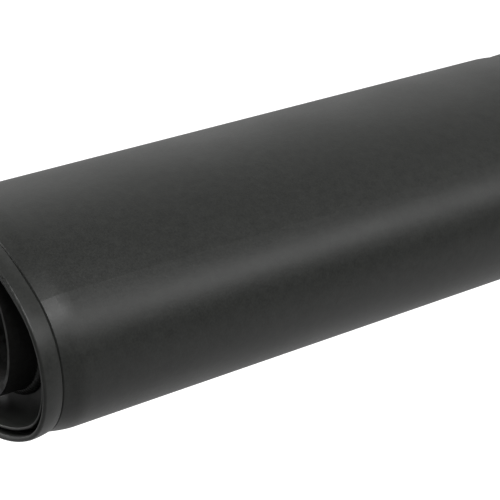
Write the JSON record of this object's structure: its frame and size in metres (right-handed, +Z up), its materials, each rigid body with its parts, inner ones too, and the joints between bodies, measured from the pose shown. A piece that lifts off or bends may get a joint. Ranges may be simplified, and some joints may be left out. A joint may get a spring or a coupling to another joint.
{
  "type": "exhaust muffler",
  "caption": "Oval slip-on exhaust muffler with dished ends, a recessed tail pipe, a removable baffle insert, a slotted inlet pipe with band clamp and a rubber-bushed hanger.",
  "frame": {"origin": "centre of the inlet pipe's open mouth, which is where the header pipe enters", "axes": "+X out of the inlet mouth with the canister lying along -X; +Z up; +Y towards the hanger bracket's side"},
  "size_m": [0.357, 0.1531, 0.0923],
  "materials": {
    "satin_black_steel": "satin high-temperature black paint",
    "black_pipe_steel": "matt black, sooty inside",
    "bare_steel": "plain drawn steel, heat tinted",
    "zinc_fastener": "zinc plated",
    "black_fastener": "black oxide",
    "bush_rubber": "moulded rubber",
    "steel_wool": "stainless wool",
    "glass_wool": "glass fibre packing"
  },
  "bodies": {
    "canister": {"outer_shell": "satin_black_steel", "outlet_rim": "satin_black_steel", "inlet_rim": "satin_black_steel", "outlet_pan": "satin_black_steel", "inlet_pan": "satin_black_steel", "inlet_pipe": "satin_black_steel", "tail_pipe": "black_pipe_steel", "core_tube": "bare_steel", "front_partition": "bare_steel", "rear_partition": "bare_steel", "steel_wool_sleeve": "steel_wool", "glass_packing": "glass_wool", "baffle_boss": "satin_black_steel", "hanger_bracket": "satin_black_steel", "hanger_grommet": "bush_rubber", "hanger_sleeve": "zinc_fastener"},
    "baffle": {"baffle_collar": "black_pipe_steel", "baffle_cone": "black_pipe_steel", "baffle_tube": "bare_steel", "baffle_end": "bare_steel"},
    "screw_washer": {"screw_washer": "black_fastener"},
    "baffle_screw": {"baffle_screw": "black_fastener"},
    "clamp": {"clamp_band": "zinc_fastener", "clamp_bolt": "zinc_fastener"},
    "clamp_washer": {"clamp_washer": "zinc_fastener"},
    "clamp_nut": {"clamp_nut": "zinc_fastener"}
  },
  "joints": [
    {"name": "baffle_slide", "type": "slide", "parent": "canister", "child": "baffle", "axis": [-1, 0, 0], "range_m": [0, 0.13]},
    {"name": "screw_travel", "type": "slide", "parent": "baffle", "child": "screw_washer", "axis": [-1, 0, 0], "range_m": [0, 0.01]},
    {"name": "screw_turn", "type": "hinge", "parent": "screw_washer", "child": "baffle_screw", "pos_m": [-0.357, 0.03965, 0], "axis": [-1, 0, 0], "range_deg": [0, 3600]},
    {"name": "clamp_turn", "type": "hinge", "parent": "canister", "child": "clamp", "pos_m": [-0.016, 0, 0], "axis": [1, 0, 0], "continuous": true},
    {"name": "nut_travel", "type": "slide", "parent": "clamp", "child": "clamp_washer", "axis": [0, -1, 0], "range_m": [0, 0.01]},
    {"name": "nut_turn", "type": "hinge", "parent": "clamp_washer", "child": "clamp_nut", "pos_m": [-0.016, 0, -0.0403], "axis": [0, -1, 0], "range_deg": [0, 2880]}
  ],
  "couplings": [
    {"joint": "screw_turn", "follows": "screw_travel", "rad_per_m": 6283.2},
    {"joint": "nut_turn", "follows": "nut_travel", "rad_per_m": 5026.5}
  ]
}
